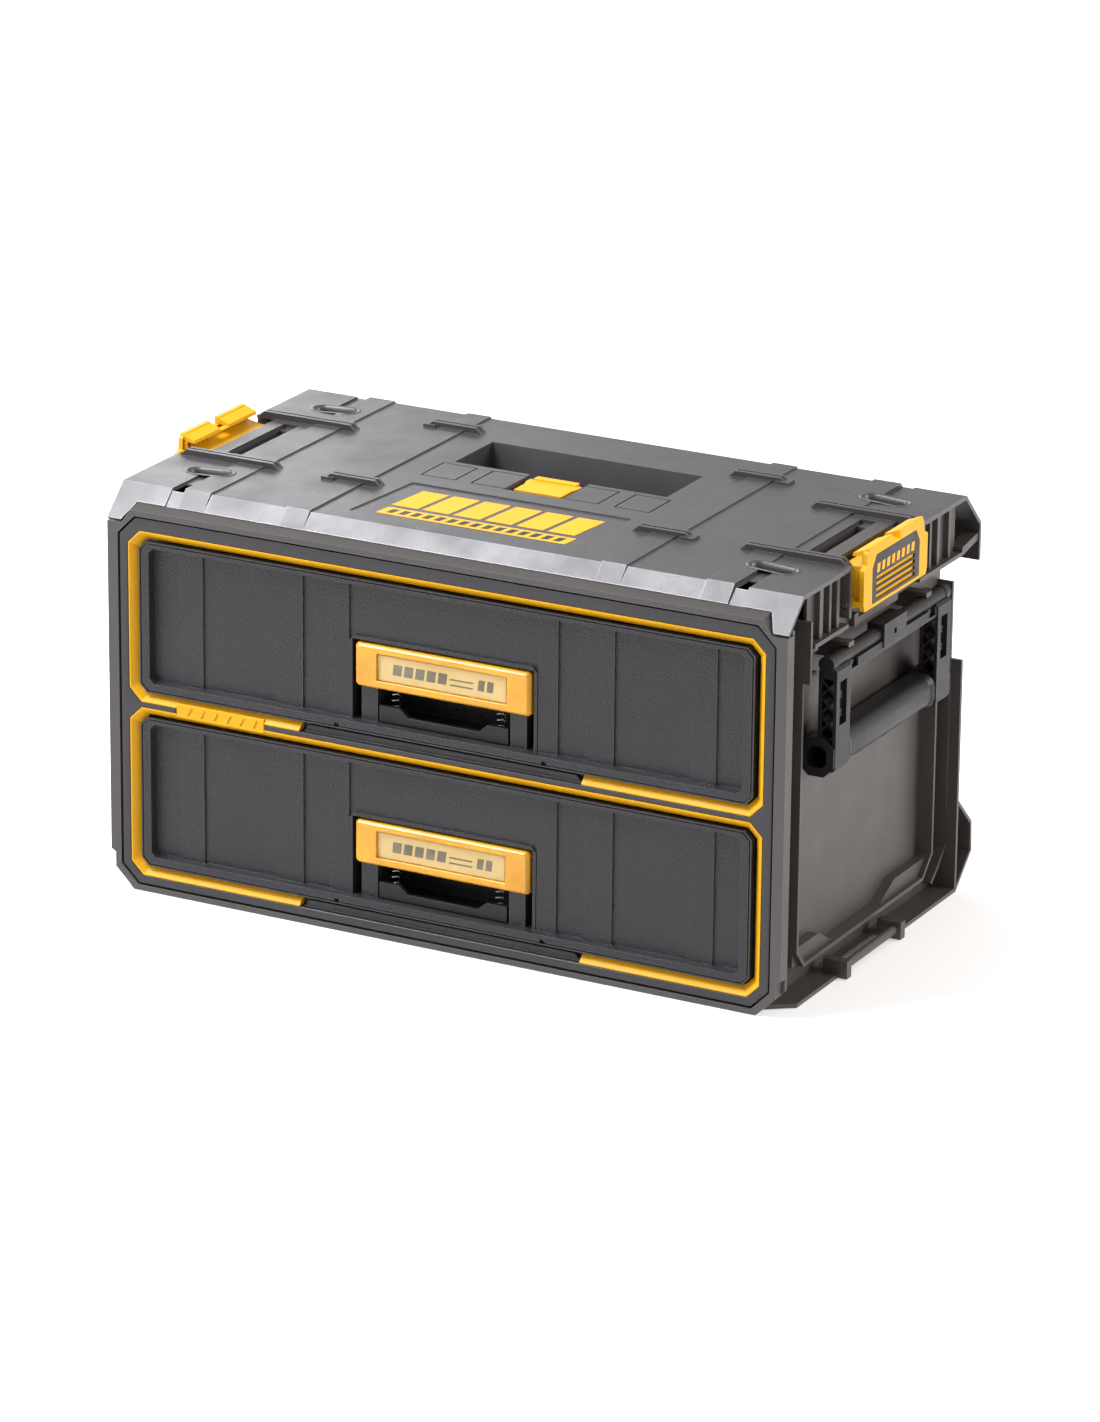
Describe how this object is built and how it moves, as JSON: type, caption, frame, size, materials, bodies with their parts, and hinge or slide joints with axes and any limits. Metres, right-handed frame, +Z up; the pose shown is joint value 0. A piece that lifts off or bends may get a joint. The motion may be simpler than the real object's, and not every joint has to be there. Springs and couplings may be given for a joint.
{
  "type": "stackable two-drawer tool box",
  "caption": "Stackable tool storage case with wide pull-out drawers, side latches, swing-out carry handles and a ribbed deck for stacking.",
  "frame": {"origin": "centre of the case's footprint, on the surface that it stands on", "axes": "+Z up, -Y out of the drawer fronts, +X to the right of someone facing the drawers"},
  "size_m": [0.556, 0.314, 0.3114],
  "materials": {
    "shell_plastic": "moulded grey plastic with a fine satin texture",
    "deck_plastic": "moulded grey plastic, satin, bright on its bevels",
    "fascia_plastic": "dark grey satin plastic",
    "drawer_plastic": "near-black plastic with a fine grain",
    "yellow_plastic": "yellow satin plastic",
    "amber_plastic": "translucent yellow plastic, glossy",
    "clear_window": "clear glossy window",
    "label_card": "printed card",
    "black_plastic": "black satin plastic",
    "black_rubber": "matt rubber",
    "bin_plastic": "black moulded plastic",
    "slide_steel": "zinc plated sheet steel",
    "spring_steel": "drawn spring wire"
  },
  "bodies": {
    "case": {"housing_shell": "shell_plastic", "right_deck_skirt": "shell_plastic", "right_deck_end": "deck_plastic", "left_deck_end": "deck_plastic", "left_deck_skirt": "shell_plastic", "right_side_wall": "shell_plastic", "left_side_wall": "shell_plastic", "front_frame": "shell_plastic", "deck_cover": "deck_plastic", "front_fascia": "fascia_plastic", "upper_trim": "yellow_plastic", "lower_trim": "yellow_plastic", "trim_nameplate": "yellow_plastic", "deck_tab_spring": "spring_steel", "upper_left_slide_outer": "slide_steel", "upper_right_slide_outer": "slide_steel", "lower_left_slide_outer": "slide_steel", "lower_right_slide_outer": "slide_steel", "left_latch_pin": "spring_steel", "left_latch_spring": "spring_steel", "right_latch_pin": "spring_steel", "right_latch_spring": "spring_steel"},
    "deck_tab": {"deck_tab": "yellow_plastic"},
    "upper_drawer": {"upper_drawer_bin": "bin_plastic", "upper_drawer_front": "drawer_plastic", "upper_drawer_grip": "amber_plastic", "upper_label_card": "label_card", "upper_label_window": "clear_window", "upper_left_slide_inner": "slide_steel", "upper_left_trigger_spring": "spring_steel", "upper_left_drawer_stop": "black_rubber", "upper_right_slide_inner": "slide_steel", "upper_right_trigger_spring": "spring_steel", "upper_right_drawer_stop": "black_rubber"},
    "upper_slides": {"upper_left_slide_middle": "slide_steel", "upper_right_slide_middle": "slide_steel"},
    "upper_trigger": {"upper_drawer_trigger": "black_plastic"},
    "lower_drawer": {"lower_drawer_bin": "bin_plastic", "lower_drawer_front": "drawer_plastic", "lower_drawer_grip": "amber_plastic", "lower_label_card": "label_card", "lower_label_window": "clear_window", "lower_left_slide_inner": "slide_steel", "lower_left_trigger_spring": "spring_steel", "lower_left_drawer_stop": "black_rubber", "lower_right_slide_inner": "slide_steel", "lower_right_trigger_spring": "spring_steel", "lower_right_drawer_stop": "black_rubber"},
    "lower_slides": {"lower_left_slide_middle": "slide_steel", "lower_right_slide_middle": "slide_steel"},
    "lower_trigger": {"lower_drawer_trigger": "black_plastic"},
    "right_latch": {"right_latch_body": "yellow_plastic", "right_latch_insert": "black_plastic"},
    "right_bail": {"right_bail_frame": "black_plastic", "right_bail_grip": "black_plastic"},
    "left_latch": {"left_latch_body": "yellow_plastic", "left_latch_insert": "black_plastic"},
    "left_bail": {"left_bail_frame": "black_plastic", "left_bail_grip": "black_plastic"}
  },
  "joints": [
    {"name": "upper_drawer_slide", "type": "slide", "parent": "case", "child": "upper_drawer", "axis": [0, -1, 0], "range_m": [0, 0.25]},
    {"name": "upper_slides_travel", "type": "slide", "parent": "case", "child": "upper_slides", "axis": [0, -1, 0], "range_m": [0, 0.125]},
    {"name": "upper_trigger_lift", "type": "slide", "parent": "upper_drawer", "child": "upper_trigger", "axis": [0, 0, 1], "range_m": [0, 0.005], "stiffness_N_per_m": 300, "springref_m": -0.004, "deforming": ["upper_left_trigger_spring", "upper_right_trigger_spring"]},
    {"name": "lower_drawer_slide", "type": "slide", "parent": "case", "child": "lower_drawer", "axis": [0, -1, 0], "range_m": [0, 0.25]},
    {"name": "lower_slides_travel", "type": "slide", "parent": "case", "child": "lower_slides", "axis": [0, -1, 0], "range_m": [0, 0.125]},
    {"name": "lower_trigger_lift", "type": "slide", "parent": "lower_drawer", "child": "lower_trigger", "axis": [0, 0, 1], "range_m": [0, 0.005], "stiffness_N_per_m": 300, "springref_m": -0.004, "deforming": ["lower_left_trigger_spring", "lower_right_trigger_spring"]},
    {"name": "deck_tab_slide", "type": "slide", "parent": "case", "child": "deck_tab", "axis": [0, -1, 0], "range_m": [0, 0.003], "stiffness_N_per_m": 300, "springref_m": -0.003},
    {"name": "right_latch_swing", "type": "hinge", "parent": "case", "child": "right_latch", "pos_m": [0.265, -0.002, 0.2725], "axis": [0, 1, 0], "range_deg": [0, 40], "stiffness_Nm_per_rad": 0.2, "springref_deg": -17.19},
    {"name": "right_bail_swing", "type": "hinge", "parent": "case", "child": "right_bail", "pos_m": [0.2705, -0.002, 0.241], "axis": [0, -1, 0], "range_deg": [0, 90]},
    {"name": "left_latch_swing", "type": "hinge", "parent": "case", "child": "left_latch", "pos_m": [-0.265, -0.002, 0.2725], "axis": [0, -1, 0], "range_deg": [0, 40], "stiffness_Nm_per_rad": 0.2, "springref_deg": -17.19},
    {"name": "left_bail_swing", "type": "hinge", "parent": "case", "child": "left_bail", "pos_m": [-0.2705, -0.002, 0.241], "axis": [0, 1, 0], "range_deg": [0, 90]}
  ],
  "couplings": [
    {"joint": "upper_slides_travel", "follows": "upper_drawer_slide", "ratio": 0.5},
    {"joint": "lower_slides_travel", "follows": "lower_drawer_slide", "ratio": 0.5}
  ]
}
